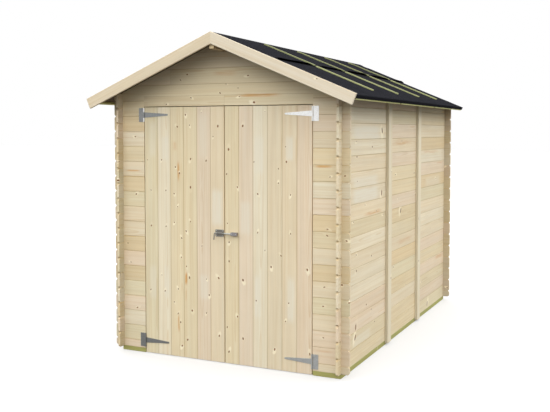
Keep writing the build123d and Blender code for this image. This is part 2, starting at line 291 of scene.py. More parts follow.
# What latewood and the broader bands let through of a board's tint
LATEWOOD = (0.84, 0.70, 0.50, 1.0)
DARK_BAND = (0.87, 0.79, 0.64, 1.0)
BAND_DEPTH = 0.36
FIBRE_DEPTH = 0.10
MOTTLE_DEPTH = 0.08
RESIN = paint(206, 150, 78)
BLEACHED = paint(231, 224, 205)
HALO = paint(250, 239, 210)
HALO_DEPTH = 0.80
KNOT_RIM = paint(186, 144, 96)
KNOT_CORE = paint(166, 116, 72)
KNOT_EDGE = paint(88, 58, 36)


def year_rings(grain, near, ring_width):
    """Latewood lines that wander, bend round the knots and are faint in some years."""
    wander, bend = 0.016, 0.012
    warp = grain.stretch(1.4, 6.0, 6.0).grains()
    radius = grain.stretch(0.0, 1.0, 1.0).length() + warp * wander + near * bend
    season = (radius / ring_width).maths("FRACT")
    late = season.spread(0.35, 0.92) * season.spread(0.93, 1.0, 1.0, 0.0)
    years = grain.stretch(0.6, 45.0, 45.0).grains()
    return late * years.spread(0.32, 0.68, 0.15, 1.0)


def stained(colour, grain, stain):
    """Resin where the stain's strength is over nought, a bleached patch where it is under."""
    along = stain.part(0).maths("ABSOLUTE")
    aside = stain.part(1).maths("ABSOLUTE")
    strength = stain.part(2)
    wisps = grain.stretch(5.0, 110.0, 110.0).grains(detail=3.0)
    drawn = (aside + wisps * 1.6 - 0.72).spread(0.0, 0.75, 1.0, 0.0)
    resin = strength.maths("MAXIMUM") * drawn * along.spread(0.30, 1.0, 1.0, 0.0)
    cover = along.spread(0.60, 1.0, 1.0, 0.0) * aside.spread(0.45, 1.0, 1.0, 0.0)
    bleach = (strength * -1.0).maths("MAXIMUM") * cover * wisps.spread(0.30, 0.60, 0.55, 1.0)
    return bleach.between(resin.between(colour, RESIN), BLEACHED)


def knotted(colour, grain, knot, ragged, away):
    """Knots with a pale flare to one side, a brown rim and a dark edge; also gives their area."""
    core = knot.part(2)
    there = core.spread(0.02, 0.05)
    flare = grain.grains(9.0, 0.0).spread(0.36, 0.60, 0.15, 1.0)
    aside = knot.shift(0.26, 0.10, 0.0).stretch(0.80, 0.95, 0.0).length() + (ragged - 0.5) * 0.35
    halo = aside.spread(0.30, 0.62, 1.0, 0.0) * flare * HALO_DEPTH
    inward = away / core.maths("MAXIMUM", 0.001)
    rim = inward.spread(1.05, 1.65, 0.62, 0.0) * there
    heart = inward.spread(0.85, 1.12, 1.0, 0.0) * there
    inside = inward.spread(0.1, 0.9).between(KNOT_CORE, KNOT_EDGE)
    colour = rim.between(halo.between(colour, HALO), KNOT_RIM)
    return heart.between(colour, inside), heart


def wood(name, ring_width=0.0034, ring_depth=0.46, streak=0.18, rough=0.62, fuzz=0.0003):
    """Planed or sawn softwood that follows each board's own grain, knots and stains."""
    material, tree, shader = start_material(name)
    grain, tint, knot, stain = (attribute(tree, layer) for layer in LAYERS)
    ragged = grain.grains(90.0)
    away = knot.stretch(1.0, 1.0, 0.0).length() + (ragged - 0.5) * 0.12
    late = year_rings(grain, away.spread(0.0, 0.95, 1.0, 0.0), ring_width)
    figure = grain.stretch(1.0, 22.0, 22.0).grains(detail=3.0)
    bands = grain.stretch(1.3, 75.0, 75.0).grains(detail=3.0).spread(0.40, 0.68)
    fibre = grain.stretch(24.0, 900.0, 900.0).grains()
    shade = figure * streak + (1.0 - streak / 2) + (fibre - 0.5) * FIBRE_DEPTH
    shade = shade + (grain.grains(5.0) - 0.5) * MOTTLE_DEPTH
    body = tint.scaled(shade)
    colour = (late * ring_depth).between(body, body.through(LATEWOOD))
    colour = (bands * BAND_DEPTH).between(colour, colour.through(DARK_BAND))
    colour = stained(colour, grain, stain)
    colour, heart = knotted(colour, grain, knot, ragged, away)
    relief = late * 0.35 + fibre * 0.8 + heart * 0.6
    feed(tree, shader, {
        "Base Color": colour,
        "Roughness": figure.spread(0.3, 0.7, rough - 0.05, rough + 0.07) - heart * 0.18,
        "Normal": relief.bump(0.55, fuzz),
        "Specular IOR Level": 0.28,
    })
    return material


def mineral_felt():
    """Bitumen felt with slate granules pressed into it."""
    material, tree, shader = start_material("mineral_felt")
    place = object_place(tree)
    granules, granule_depth = 620.0, 0.0009
    chip = place.cells(granules, "Color").channel()
    dome = place.cells(granules, "Distance")
    scuff = place.stretch(30.0, 6.0, 30.0).grains(detail=3.0)
    colour = place.grains(3.0, 3.0).between(paint(26, 26, 29), paint(35, 35, 38))
    colour = chip.spread(0.55, 1.0, 0.0, 0.55).between(colour, paint(62, 63, 69))
    colour = scuff.spread(0.55, 0.75, 0.0, 0.20).between(colour, paint(54, 55, 60))
    feed(tree, shader, {
        "Base Color": colour,
        "Roughness": chip.spread(0.0, 1.0, 0.95, 0.72),
        "Normal": (dome * -1.0 + chip * 0.5).bump(0.6, granule_depth),
        "Specular IOR Level": 0.0,
    })
    return material


def zinc():
    """Hot dipped steel, with a faint spangle and a dull skin."""
    material, tree, shader = start_material("galvanised_steel")
    place = object_place(tree)
    spangles, scratch_depth = 150.0, 0.0003
    flake = place.cells(spangles, "Color").channel()
    bloom = place.grains(60.0, 4.0)
    scratches = place.stretch(40.0, 40.0, 900.0).grains()
    shade = flake * 0.16 + bloom * 0.22 + 0.81
    feed(tree, shader, {
        "Base Color": attribute(tree, "tint").scaled(shade),
        "Roughness": bloom.spread(0.3, 0.7, 0.34, 0.55),
        "Normal": (flake * 0.3 + scratches).bump(0.25, scratch_depth),
        "Metallic": 1.0,
    })
    return material


planed_wood = wood("planed_spruce")
sawn_wood = wood("sawn_spruce", ring_depth=0.30, streak=0.20, rough=0.74, fuzz=0.0007)
treated_wood = wood("green_treated_softwood", ring_depth=0.45, streak=0.34, rough=0.72, fuzz=0.0006)
SLOTS = {
    "wall_planks": planed_wood,
    "door_boards": planed_wood,
    "fascia": planed_wood,
    "framing": sawn_wood,
    "base_beams": treated_wood,
    "battens": treated_wood,
    "roofing_felt": mineral_felt(),
    "galvanised_steel": zinc(),
}

# Marks that show on the boards, as picture points with the knot's size in millimetres
LINTEL_KNOTS = ((254, 102.3, 8), (166.3, 104.3, 5), (238, 88, 4), (226, 84, 4))
DOOR_KNOTS = (
    (185.4, 114.8, 6), (177.2, 126.7, 6), (189.6, 125.2, 5), (217.8, 126.1, 8), (213, 136.6, 4),
    (242.7, 125.9, 8), (174.6, 148.8, 6), (181.1, 148.8, 8), (228.5, 149.4, 8), (161.6, 159.8, 5),
    (147.7, 159.8, 4), (190.5, 159, 7), (206.1, 160.7, 7), (253.9, 161.9, 5), (286.4, 161.9, 7),
    (285.6, 146.8, 4), (175.4, 167, 5), (179.4, 173.2, 7), (226.6, 174, 6), (278.5, 168.7, 5),
    (278.3, 183.2, 5), (237.4, 187.2, 7), (151.1, 189.9, 5), (165.9, 190.4, 5), (190.5, 187.2, 8),
    (174.1, 193.6, 5), (257.7, 194, 6), (290.6, 194.9, 6), (177.5, 206.5, 5), (151.4, 225.5, 6),
    (166.1, 226.3, 5), (174.4, 222.4, 5), (190.5, 221.6, 5), (186.2, 231.2, 7), (181.7, 238, 6),
    (181.4, 257.3, 5), (186.5, 266.4, 5), (189.5, 277.6, 8), (178.4, 288.9, 6), (151, 289.4, 6),
    (165.2, 290.8, 6), (161.9, 274.9, 4), (218.7, 278.1, 8), (243, 280.2, 8), (229.1, 261.3, 7),
    (229.1, 242.2, 6), (227.4, 223.3, 4), (257.7, 232.6, 6), (290.6, 233.8, 6), (281, 255.8, 6),
    (271.1, 267, 7), (307.2, 269.8, 8), (209.2, 295.1, 6), (206.6, 279.1, 4), (174.4, 301.8, 5),
    (192.2, 310.5, 7), (178.2, 313.5, 6), (180.7, 322.2, 6), (187.7, 339.7, 7), (182.3, 345.6, 7),
    (206.6, 313, 5), (219.3, 335.8, 7), (227.3, 327.1, 6), (237.6, 316.6, 6), (243.1, 338.6, 8),
    (229.1, 351.6, 8), (274.7, 349.3, 8), (256.2, 300.7, 5), (288.7, 303.2, 5), (285.5, 321.5, 5),
    (309.8, 354.3, 8), (201.3, 112.3, 3), (264.9, 111.4, 3), (264.9, 250.5, 4), (201.9, 246, 4),
)
FRONT_KNOTS = (
    (135.4, 136.7, 7), (136.3, 194, 6), (137.5, 307.4, 7), (128, 243, 5), (131, 262, 5),
    (327.4, 229.3, 7), (327.2, 235.7, 7), (324.3, 287.2, 6), (323.1, 306.3, 6), (323.3, 337.8, 6),
    (346.6, 241, 7), (341.9, 285, 7), (349, 303, 6), (345, 176, 6), (330, 177, 5),
    (187.2, 74.5, 6), (180.5, 80, 6), (214.7, 72.7, 6), (214.5, 81.5, 5), (248, 75.5, 7),
    (190.9, 97.8, 6), (220, 93, 6), (239.5, 96.5, 6),
)
SIDE_KNOTS = (
    (382.2, 130.4, 9), (356.6, 141.4, 6), (372.3, 146.8, 8), (357, 156.8, 8), (357.5, 181.3, 5),
    (381.6, 192.9, 9), (365.2, 205, 6), (376.3, 211, 6), (382.9, 214.3, 7), (353.4, 222.3, 6),
    (356.3, 255, 6), (371.4, 255.7, 8), (356.3, 271, 8), (366.4, 304.5, 8), (371.3, 309.3, 7),
    (374.5, 321.4, 6), (355.7, 327.1, 9), (355.2, 337.5, 9), (395.4, 174.6, 8), (414.1, 172.9, 8),
    (398, 197.9, 5), (400.7, 210.4, 10), (415.2, 194.3, 6), (393.2, 267, 8), (405.7, 284.5, 6),
    (435.7, 178.6, 8), (427.1, 303.6, 9), (421.3, 282.1, 6), (402, 141, 7), (430, 228, 5),
)
FASCIA_KNOTS = ((316.8, 78.8, 5),)
# Streaks, as picture points of their two ends, their width in metres and strength;
# a strength under nought is a bleached patch
FRONT_STREAKS = (
    ((178, 159), (178.6, 184), 0.05, 0.8), ((186.5, 261), (186, 296), 0.045, 0.9),
    ((186, 284), (186.6, 306), 0.03, 0.5), ((178.8, 312), (179.2, 334), 0.04, 0.7),
    ((173, 140), (177, 152), 0.09, 0.35), ((233, 96.5), (286, 93.5), 0.05, 0.85),
    ((165, 134), (165, 163), 0.08, -0.6), ((203, 108), (203, 164), 0.09, -0.35),
    ((217, 186), (217, 229), 0.11, -0.75), ((259, 132), (259, 178), 0.10, -0.5),
    ((289.5, 134), (289.5, 163), 0.07, -0.7), ((245.5, 198), (245.5, 238), 0.11, -0.55),
    ((258, 272), (257, 322), 0.06, -0.7), ((290.5, 273), (291.5, 327), 0.07, -0.7),
    ((204, 272), (204, 302), 0.10, -0.5), ((153, 262), (153.5, 302), 0.08, -0.4),
    ((166.5, 262), (167, 300), 0.06, -0.4), ((153, 118), (152, 160), 0.07, -0.4),
    ((313.5, 166.3), (335, 166.6), 0.035, 0.9), ((124, 170.5), (143, 171), 0.03, 0.6),
    ((210, 72), (240, 73.5), 0.08, 0.35), ((313, 350), (334, 352), 0.03, 0.6),
)
SIDE_STREAKS = (
    ((351, 131.5), (381.5, 134), 0.13, -0.75), ((350.5, 183), (380, 182), 0.12, -0.65),
    ((350.5, 197), (380, 192.5), 0.13, -0.85), ((362, 219), (384, 206), 0.05, 0.6),
    ((392, 143), (414, 141.5), 0.10, 0.35), ((424, 181), (441, 181), 0.11, -0.4),
    ((436, 163.5), (443, 161.5), 0.02, 0.9), ((420, 151), (440, 152), 0.06, 0.3),
    ((351, 345), (372, 330), 0.09, -0.5), ((434, 258), (443, 254), 0.08, 0.5),
    ((395, 243), (414, 236), 0.09, 0.3),
)


def spots(points, axis, value):
    return [(seen(px, py, axis, value), size / 1000) for px, py, size in points]


def streaks(lines, axis, value):
    return [
        (seen(*start, axis, value), seen(*end, axis, value), width, strength)
        for start, end, width, strength in lines
    ]


FRONT_MARKS = {
    "knots": spots(DOOR_KNOTS + FRONT_KNOTS + LINTEL_KNOTS, 1, FRONT),
    "stains": streaks(FRONT_STREAKS, 1, FRONT),
}
SIDE_MARKS = {"knots": spots(SIDE_KNOTS, 0, HALF), "stains": streaks(SIDE_STREAKS, 0, HALF)}
ON_FASCIA = spots(FASCIA_KNOTS, 1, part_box("fascia_right")[0].y)

# Making boards

AXES = {"x": Vector((1, 0, 0)), "y": Vector((0, 1, 0)), "z": Vector((0, 0, 1))}
# A mark so far off, and so weak, that it doesn't show
BLANK = (9.0, 9.0, 0.0)
CLOSE = 1e-5
SHARP_ANGLE = math.radians(35)
# A face looks along an axis when this much of its normal does; a groove's face leans between
FACING = 0.9
GROOVE_LEAN = (0.2, 0.95)
KNOTS_PER_METRE = (0.8, 1.6, 2.6)
KNOT_SIZES = (0.003, 0.008)
KNOT_STRIP = (0.1, 0.9)
SPIKE_FLATNESS = 0.45
ROUND_FLATNESS = (1.25, 2.1)
MOST_TURN = 0.6
PITH_ALONG = (0, 30)
PITH_ACROSS = (-0.3, 1.3)
PITH_DEPTH = (0.025, 0.09)
KNOT_REACH = 5.6
LEAST_REACH = 0.004
LEAST_STRETCH = 0.0005


def start_piece():
    piece = bmesh.new()
    for layer in LAYERS:
        piece.loops.layers.float_vector.new(layer)
    return piece


def absorb(piece, part):
    """Adds a finished part to the piece that it belongs to."""
    mesh = bpy.data.meshes.new("part")
    part.to_mesh(mesh)
    part.free()
    piece.from_mesh(mesh)
    bpy.data.meshes.remove(mesh)


def make(name, slot, node_name, fill, *told, body="root", sheet=False):
    """One piece, as fill(piece, *told) draws it; a sheet has no grain and is shaded smooth."""
    piece = bmesh.new() if sheet else start_piece()
    fill(piece, *told)
    mesh = bpy.data.meshes.new(name)
    piece.to_mesh(mesh)
    piece.free()
    mesh.materials.append(SLOTS[slot])
    if sheet:
        mesh.polygons.foreach_set("use_smooth", [True] * len(mesh.polygons))
        mesh.set_sharp_from_angle(angle=SHARP_ANGLE)
    made = bpy.data.objects.new(name, mesh)
    bpy.context.scene.collection.objects.link(made)
    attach(made, body)
    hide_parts(node_name)


def only(items, kind):
    return [item for item in items if isinstance(item, kind)]


def plate(bm, outline, thick):
    """A flat solid with this outline: its face at height nought, its back below."""
    face = bm.faces.new([bm.verts.new((x, y, 0)) for x, y in outline])
    grown = bmesh.ops.extrude_face_region(bm, geom=[face])
    bmesh.ops.translate(bm, verts=only(grown["geom"], bmesh.types.BMVert), vec=(0, 0, -thick))
    bmesh.ops.recalc_face_normals(bm, faces=bm.faces[:])


def soften(bm, edges, width, segments=1):
    if edges:
        bmesh.ops.bevel(
            bm, geom=edges, offset=width, segments=segments, profile=0.5,
            affect="EDGES", material=-1, clamp_overlap=True,
        )


def cut(bm, point, normal, drop=False):
    """Cuts through a solid at a plane; what lies beyond it can be dropped and the cut closed."""
    everything = bm.verts[:] + bm.edges[:] + bm.faces[:]
    made = bmesh.ops.bisect_plane(
        bm, geom=everything, plane_co=point, plane_no=normal, clear_outer=drop
    )
    rim = only(made["geom_cut"], bmesh.types.BMEdge)
    if drop and rim:
        bmesh.ops.holes_fill(bm, edges=rim)


def lies_at(value, *marks):
    return any(abs(value - mark) < CLOSE for mark in marks)


def notched(length, width, notches):
    """Outline of a board with notches (from, to, depth, at_head) in its long edges."""
    outline = [(0, 0)]
    for start, end, depth, _ in sorted(n for n in notches if not n[3]):
        outline += [(start, 0), (start, depth), (end, depth), (end, 0)]
    outline += [(length, 0), (length, width)]
    for start, end, depth, _ in sorted((n for n in notches if n[3]), reverse=True):
        outline += [(end, width), (end, width - depth), (start, width - depth), (start, width)]
    outline.append((0, width))
    return outline


def ease_edges(bm, length, width, thick, tips, groove, ease):
    """Chamfers the corners at the tips, the long edges by the groove, or every edge by ease."""
    for end, tip in ((0, tips[0]), (length, tips[1])):
        if tip:
            soften(bm, [
                e for e in bm.edges
                if all(lies_at(v.co.x, end) and lies_at(v.co.y, 0, width) for v in e.verts)
                and abs(e.verts[0].co.z - e.verts[1].co.z) > thick / 2
            ], tip)
    if groove:
        soften(bm, [
            e for e in bm.edges
            if all(lies_at(v.co.y, 0, width) and lies_at(v.co.z, 0, -thick) for v in e.verts)
            and abs(e.verts[0].co.x - e.verts[1].co.x) > CLOSE
        ], groove)
    if ease:
        soften(bm, bm.edges[:], ease)


def spans(marks, reach_of):
    """Each mark with the reach that it may use before it meets its neighbour's."""
    marks = sorted(marks, key=lambda mark: mark[0])
    found = []
    for i, mark in enumerate(marks):
        reach = reach_of(mark)
        for other in marks[max(i - 1, 0):i] + marks[i + 1:i + 2]:
            reach = min(reach, abs(mark[0] - other[0]) / 2)
        if reach > LEAST_REACH:
            found.append((mark, reach))
    return found


def random_knots(length, width):
    """A few knots such as any board has, as (along, across, size)."""
    count = int(length * chance.choice(KNOTS_PER_METRE) + chance.random())
    return [
        (chance.uniform(0, length), chance.uniform(*KNOT_STRIP) * width, chance.uniform(*KNOT_SIZES))
        for _ in range(count)
    ]


def local_knots(knots, inverse, length, width):
    """Known knots that lie on this board, as (along, across, size)."""
    found = []
    for point, size in knots:
        spot = inverse @ point
        if 0 < spot.x < length and 0 < spot.y < width and abs(spot.z) < THICK:
            found.append((spot.x, spot.y, size))
    return found


def local_stains(stains, inverse, length, width):
    """Streaks that cross this board, as (along, across, half length, half width, strength)."""
    found = []
    for start, end, wide, strength in stains:
        first, last = inverse @ start, inverse @ end
        middle = (first + last) / 2
        half = abs(last.x - first.x) / 2
        if 0 < middle.y < width and 0 < middle.x < length and half > CLOSE and abs(middle.z) < THICK:
            found.append((middle.x, middle.y, half, wide / 2, strength))
    return found


def slant(size):
    """Turn of a knot and how much narrower it is across the board; a large one is a tall spike."""
    turn = chance.uniform(-MOST_TURN, MOST_TURN) + chance.choice((0, math.pi))
    return turn, SPIKE_FLATNESS if size > TALL_KNOT else chance.uniform(*ROUND_FLATNESS)


def jitter(colour, amount=0.025):
    shift = chance.uniform(-amount, amount)
    warm = chance.uniform(-amount, amount) / 2
    return Vector((colour.x * (1 + shift + warm), colour.y * (1 + shift), colour.z * (1 + shift - warm)))


def painted_face_shade(face, plain_from, plain_to, groove, edge_painted_shade, end_shade):
    """The painted shade of a face, as its share of the board's tone beside the board's front."""
    # Painted shade in a groove, on narrow edges, on sawn ends, on the back and on the tails
    if groove and GROOVE_LEAN[0] < abs(face.normal.y) < GROOVE_LEAN[1]:
        return GROOVE_PAINTED_SHADE
    if abs(face.normal.y) > FACING:
        return edge_painted_shade
    if abs(face.normal.x) > FACING:
        return end_shade
    if face.normal.z < -FACING:
        return BACK_PAINTED_SHADE
    return 1.0 if plain_from < face.calc_center_median().x < plain_to else TAIL_PAINTED_SHADE


def at(mark_spans, x):
    """Number of the span that holds this place along the board, if any."""
    return next((i for i, (mark, reach) in enumerate(mark_spans) if abs(x - mark[0]) <= reach), None)


def knot_field(spot, mark, reach, turn, flat):
    dx, dy = spot.x - mark[0], spot.y - mark[1]
    u = dx * math.cos(turn) + dy * math.sin(turn)
    v = (dy * math.cos(turn) - dx * math.sin(turn)) * flat
    return u / reach, v / reach, mark[2] / reach


def board(piece, low, high, along, out, tone=None, tilt=None, notches=(), tips=(0, 0),
          groove=0.0, ease=0.0, trims=(), knots=None, stains=(), edge_painted_shade=1.0, end_shade=1.0,
          tails=(0.0, 0.0)):
    """One board between two corners, with its grain along an axis and its face turned out.

    A groove is the chamfer of its long edges and gets painted shade, ease rounds every edge, trims are
    planes (point, normal) beyond which it is sawn off, and tails are stretches at its ends with painted
    shade.
    """
    low, high = Vector(low), Vector(high)
    axis = AXES[along]
    face_axis = AXES[out[-1]] * (-1 if out[0] == "-" else 1)
    across = face_axis.cross(axis)
    size = high - low
    length, width, thick = (abs(size.dot(v)) for v in (axis, across, face_axis))
    corner = (low + high) / 2 - axis * length / 2 - across * width / 2 + face_axis * thick / 2
    place = Matrix.Translation(corner) @ Matrix((axis, across, face_axis)).transposed().to_4x4()
    inverse = place.inverted()
    bm = start_piece()
    base, upward = low.dot(axis), sum(across) > 0
    cuts = [(a - base, b - base, depth, head == upward) for a, b, depth, head in notches]
    plate(bm, notched(length, width, cuts), thick)
    ease_edges(bm, length, width, thick, tips, groove, ease)
    for point, normal in trims:
        cut(bm, inverse @ Vector(point), inverse.to_3x3() @ Vector(normal), drop=True)
    if not bm.faces:
        bm.free()
        return

    if knots is None:
        own_knots = random_knots(length, width)
    else:
        own_knots = local_knots(knots, inverse, length, width)
    knot_spans = spans(own_knots, lambda mark: mark[2] * KNOT_REACH)
    stain_spans = spans(local_stains(stains, inverse, length, width), lambda mark: mark[2])
    places = [mark[0] + step * reach for mark, reach in knot_spans + stain_spans for step in (-1, 1)]
    for x in places + [tails[0], length - tails[1]]:
        if LEAST_STRETCH < x < length - LEAST_STRETCH:
            cut(bm, (x, 0, 0), (1, 0, 0))
    slants = [slant(mark[2]) for mark, _ in knot_spans]
    pith = Vector((
        chance.uniform(*PITH_ALONG), width * chance.uniform(*PITH_ACROSS),
        chance.choice((-1, 1)) * chance.uniform(*PITH_DEPTH),
    ))
    colour = jitter(tone if tone is not None else TONES[chance.choice(COMMON_TONES)])

    grain_layer, tint_layer, knot_layer, stain_layer = (
        bm.loops.layers.float_vector[layer] for layer in LAYERS
    )
    bm.normal_update()
    for face in bm.faces:
        middle = face.calc_center_median().x
        # The tint that each face carries is the board's tone times its painted shade
        shade = painted_face_shade(face, tails[0], length - tails[1], groove, edge_painted_shade, end_shade)
        knot, stain = at(knot_spans, middle), at(stain_spans, middle)
        for loop in face.loops:
            spot = loop.vert.co
            loop[grain_layer] = spot - pith
            loop[tint_layer] = colour * shade
            loop[knot_layer] = BLANK
            loop[stain_layer] = BLANK
            if knot is not None:
                loop[knot_layer] = knot_field(spot, *knot_spans[knot], *slants[knot])
            if stain is not None and face.normal.z > -FACING:
                (sx, sy, _, wide, strength), reach = stain_spans[stain]
                loop[stain_layer] = ((spot.x - sx) / reach, (spot.y - sy) / wide, strength)
    bm.transform((tilt or Matrix()) @ place)
    absorb(piece, bm)


def roof_tilt(side):
    """Frame of one roof slope: x is side times the run down it, z the rise off the boards."""
    return Matrix.Translation((0, 0, RIDGE)) @ Matrix.Rotation(side * SLOPE, 4, "Y")


ROOF_PLANES = [((0, 0, RIDGE), (side * math.sin(SLOPE), 0, math.cos(SLOPE))) for _, side in SIDES]

# Walls


def courses(foot, top, first_joint):
    joints = [foot]
    joint = first_joint
    while joint < top - CLOSE:
        if joint > foot + CLOSE:
            joints.append(joint)
        joint += PLANK
    joints.append(top)
    return list(zip(joints, joints[1:]))


def column_notches(places, foot, head):
    """The notches where crossing planks pass, at the foot, the head or both of a plank."""
    edges = [at_head for at_head, cut_here in ((False, foot), (True, head)) if cut_here]
    return [
        (place - NOTCH_HALF, place + NOTCH_HALF, NOTCH_DEPTH, at_head)
        for place in places for at_head in edges
    ]


def wall_depth(face, out):
    """The two faces of a wall in rising order, from its outer face and the way that looks."""
    return sorted((face, face + (THICK if out[0] == "-" else -THICK)))


def outward(side):
    return "+x" if side > 0 else "-x"


def cross_planks(piece, x_from, x_to, face, out, marks):
    """Planks laid across the shed, with the side walls' planks through their notches."""
    near, far = wall_depth(face, out)
    columns = [x for x in (-CORNER_COLUMN, CORNER_COLUMN) if x_from < x < x_to]
    tips = tuple(TIP if lies_at(abs(x), REACH) else 0 for x in (x_from, x_to))
    # The front planks' ends past the corners get painted shade
    tails = tuple(REACH - HALF if tip and out == "-y" else 0 for tip in tips)
    for low, high in courses(FOOT, GABLE_BASE, FOOT + PLANK / 2):
        notches = column_notches(columns, low > FOOT + CLOSE, high < GABLE_BASE + CLOSE)
        board(
            piece, (x_from, near, low), (x_to, far, high), "x", out,
            notches=notches, tips=tips, groove=GROOVE, tails=tails, **marks,
        )


def gable_planks(piece, face, out, marks):
    """Planks over the walls, sawn to the roof and cut round the ridge beam and lintel."""
    near, far = wall_depth(face, out)
    beam_low, beam_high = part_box("ridge_beam")
    in_front = face == FRONT
    for low, high in courses(GABLE_BASE, RIDGE, GABLE_BASE):
        first = low < GABLE_BASE + CLOSE
        notches = column_notches((-CORNER_COLUMN, CORNER_COLUMN), first, False)
        if first and in_front:
            notches.append((-DOORWAY, DOORWAY, LINTEL[1].z - GABLE_BASE, False))
        ends = [(-REACH, REACH)]
        if in_front and low < BUTT_JOINT.z < high:
            ends = [(-REACH, BUTT_JOINT.x - BUTT_GAP), (BUTT_JOINT.x + BUTT_GAP, REACH)]
        if high > beam_low.z + PLANK / 4:
            ends = [(-REACH, beam_low.x), (beam_high.x, REACH)]
        for x_from, x_to in ends:
            board(
                piece, (x_from, near, low), (x_to, far, high), "x", out,
                notches=notches if len(ends) == 1 else (), tips=(TIP, TIP) if first else (0, 0),
                groove=GABLE_GROOVE, trims=ROOF_PLANES, **marks,
            )


def side_planks(piece, side, y_from, y_to, marks):
    """Planks of one bay of a side wall."""
    out = outward(side)
    near, far = wall_depth(side * HALF, out)
    rows = [y for y in (FRONT + THICK / 2, REAR - THICK / 2) if y_from < y < y_to]
    tips = tuple(TIP if lies_at(y, end) else 0 for y, end in zip((y_from, y_to), SIDE_ENDS))
    for low, high in courses(FOOT, SIDE_TOP, FOOT):
        board(
            piece, (near, y_from, low), (far, y_to, high), "y", out,
            notches=column_notches(rows, True, True), tips=tips, groove=GROOVE, **marks,
        )


def build_walls():
    for name, side in SIDES:
        ends = sorted((side * REACH, side * DOORWAY))
        make(
            f"front_{name}_planks", "wall_planks", f"front_wall_{name}",
            cross_planks, *ends, FRONT, "-y", FRONT_MARKS,
        )
    make("front_gable_planks", "wall_planks", "front_gable", gable_planks, FRONT, "-y", FRONT_MARKS)
    make("rear_planks", "wall_planks", "rear_wall", cross_planks, -REACH, REACH, REAR, "+y", {})
    make("rear_gable_planks", "wall_planks", "rear_gable", gable_planks, REAR, "+y", {})
    bays = (
        ("front", SIDE_ENDS[0], BAY_ENDS[0]),
        ("middle", BAY_ENDS[0] + BAY_GAP, BAY_ENDS[1]),
        ("rear", BAY_ENDS[1] + BAY_GAP, SIDE_ENDS[1]),
    )
    for name, side in SIDES:
        marks = SIDE_MARKS if side > 0 else {}
        for bay, *ends in bays:
            node_name = f"{name}_wall_{bay}"
            make(f"{name}_{bay}_planks", "wall_planks", node_name, side_planks, side, *ends, marks)
    make("lintel_pair", "wall_planks", "lintel_boards", lintel_boards)


def lintel_boards(piece):
    low, high = LINTEL
    for x_from, x_to in ((low.x, -LEAF_GAP), (LEAF_GAP, high.x)):
        board(
            piece, (x_from, low.y, low.z), (x_to, high.y, high.z), "x", "-y",
            tone=TONES["straw"], groove=LINTEL_GROOVE, **FRONT_MARKS,
        )


def ribs(piece, name, side):
    # The ribs' narrow front and back faces get painted shade
    width, painted_shade_edge = 0.085, 0.80
    low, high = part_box(f"{name}_wall_ribs")
    for y_from in (low.y, high.y - width):
        board(
            piece, (low.x, y_from, low.z), (high.x, y_from + width, high.z), "z", outward(side),
            tone=TONES["pale"], ease=SAWN_EASE, edge_painted_shade=painted_shade_edge,
        )


def ground_beam(piece, name, along):
    """A green beam on the ground; the front one is set back under the doors."""
    recess_depth = 0.021
    notches = [(-DOORWAY, DOORWAY, recess_depth, False)] if name == "front" else ()
    low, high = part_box(f"base_beam_{name}")
    board(piece, low, high, along, "+z", tone=BEAM_TONE, notches=notches, ease=SAWN_EASE)


def timber(piece, name, along, out, trims):
    board(piece, *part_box(name), along, out, tone=FRAME_TONE, ease=PLANED_EASE, trims=trims)


def build_frame():
    for name, side in SIDES:
        make(f"{name}_rib_pair", "framing", f"{name}_wall_ribs", ribs, name, side)
    for name, along in (("front", "x"), ("rear", "x"), ("left", "y"), ("right", "y")):
        make(f"{name}_ground_beam", "base_beams", f"base_beam_{name}", ground_beam, name, along)
    for name, along, out, trims in (
        ("door_post_left", "z", "+y", ()), ("door_post_right", "z", "+y", ()),
        ("door_head", "x", "+y", ()), ("ridge_beam", "y", "-x", ROOF_PLANES),
    ):
        make(f"{name}_timber", "framing", name, timber, name, along, out, trims)


# Roof


def ridge_cut(side):
    """The upright plane where the two slopes meet, in one slope's frame."""
    return (0, 0, 0), (-side * math.cos(SLOPE), 0, -math.sin(SLOPE))


def slope_board(piece, side, runs, rows, rises, along, out, **looks):
    """A board on one slope: its runs down it, its rows along the roof, its rises off the boards."""
    (x_from, x_to), tilt = sorted((side * runs[0], side * runs[1])), roof_tilt(side)
    low, high = (x_from, rows[0], rises[0]), (x_to, rows[1], rises[1])
    board(piece, low, high, along, out, tilt=tilt, **looks)


def roof_boards(piece, side):
    past_ridge = 0.012
    cover = (ROOF_REAR - ROOF_FRONT) / round((ROOF_REAR - ROOF_FRONT) / PLANK)
    start = ROOF_FRONT
    while start < ROOF_REAR - CLOSE:
        # The deck boards take the dark tone of painted shade
        slope_board(
            piece, side, (-past_ridge, RUN), (start, start + cover), (0, ROOF_BOARD), "x", "-z",
            tone=SOFFIT_PAINTED_SHADE_TONE, groove=GROOVE, trims=[ridge_cut(side)],
        )
        start += cover


def eave_strips(piece, side):
    # The strips' sawn ends get dark painted shade, so the seams between them read as dark gaps
    width, height, gap, painted_shade_end = 0.022, 0.015, 0.014, 0.25
    ends = sorted((ROOF_FRONT, ROOF_REAR, *EAVE_SEAMS))
    for y_from, y_to in zip(ends, ends[1:]):
        slope_board(
            piece, side, (RUN - width, RUN), (y_from + gap, y_to - gap), (-height, 0), "y", "-z",
            tone=STRIP_PAINTED_LIGHT_TONE, ease=SLIM_EASE, knots=(), end_shade=painted_shade_end,
        )


def barge_board(piece, name, side):
    width, thick, top, past_ridge = 0.077, 0.017, 0.026, 0.040
    upright = roof_tilt(side).inverted()
    knots = [(upright @ point, size) for point, size in ON_FASCIA]
    slope_board(
        piece, side, (-past_ridge, RUN), (ROOF_FRONT - thick, ROOF_FRONT), (top - width, top),
        "x", "-y", tone=FASCIA_TONES[name], ease=PLANED_EASE, trims=[ridge_cut(side)], knots=knots,
    )


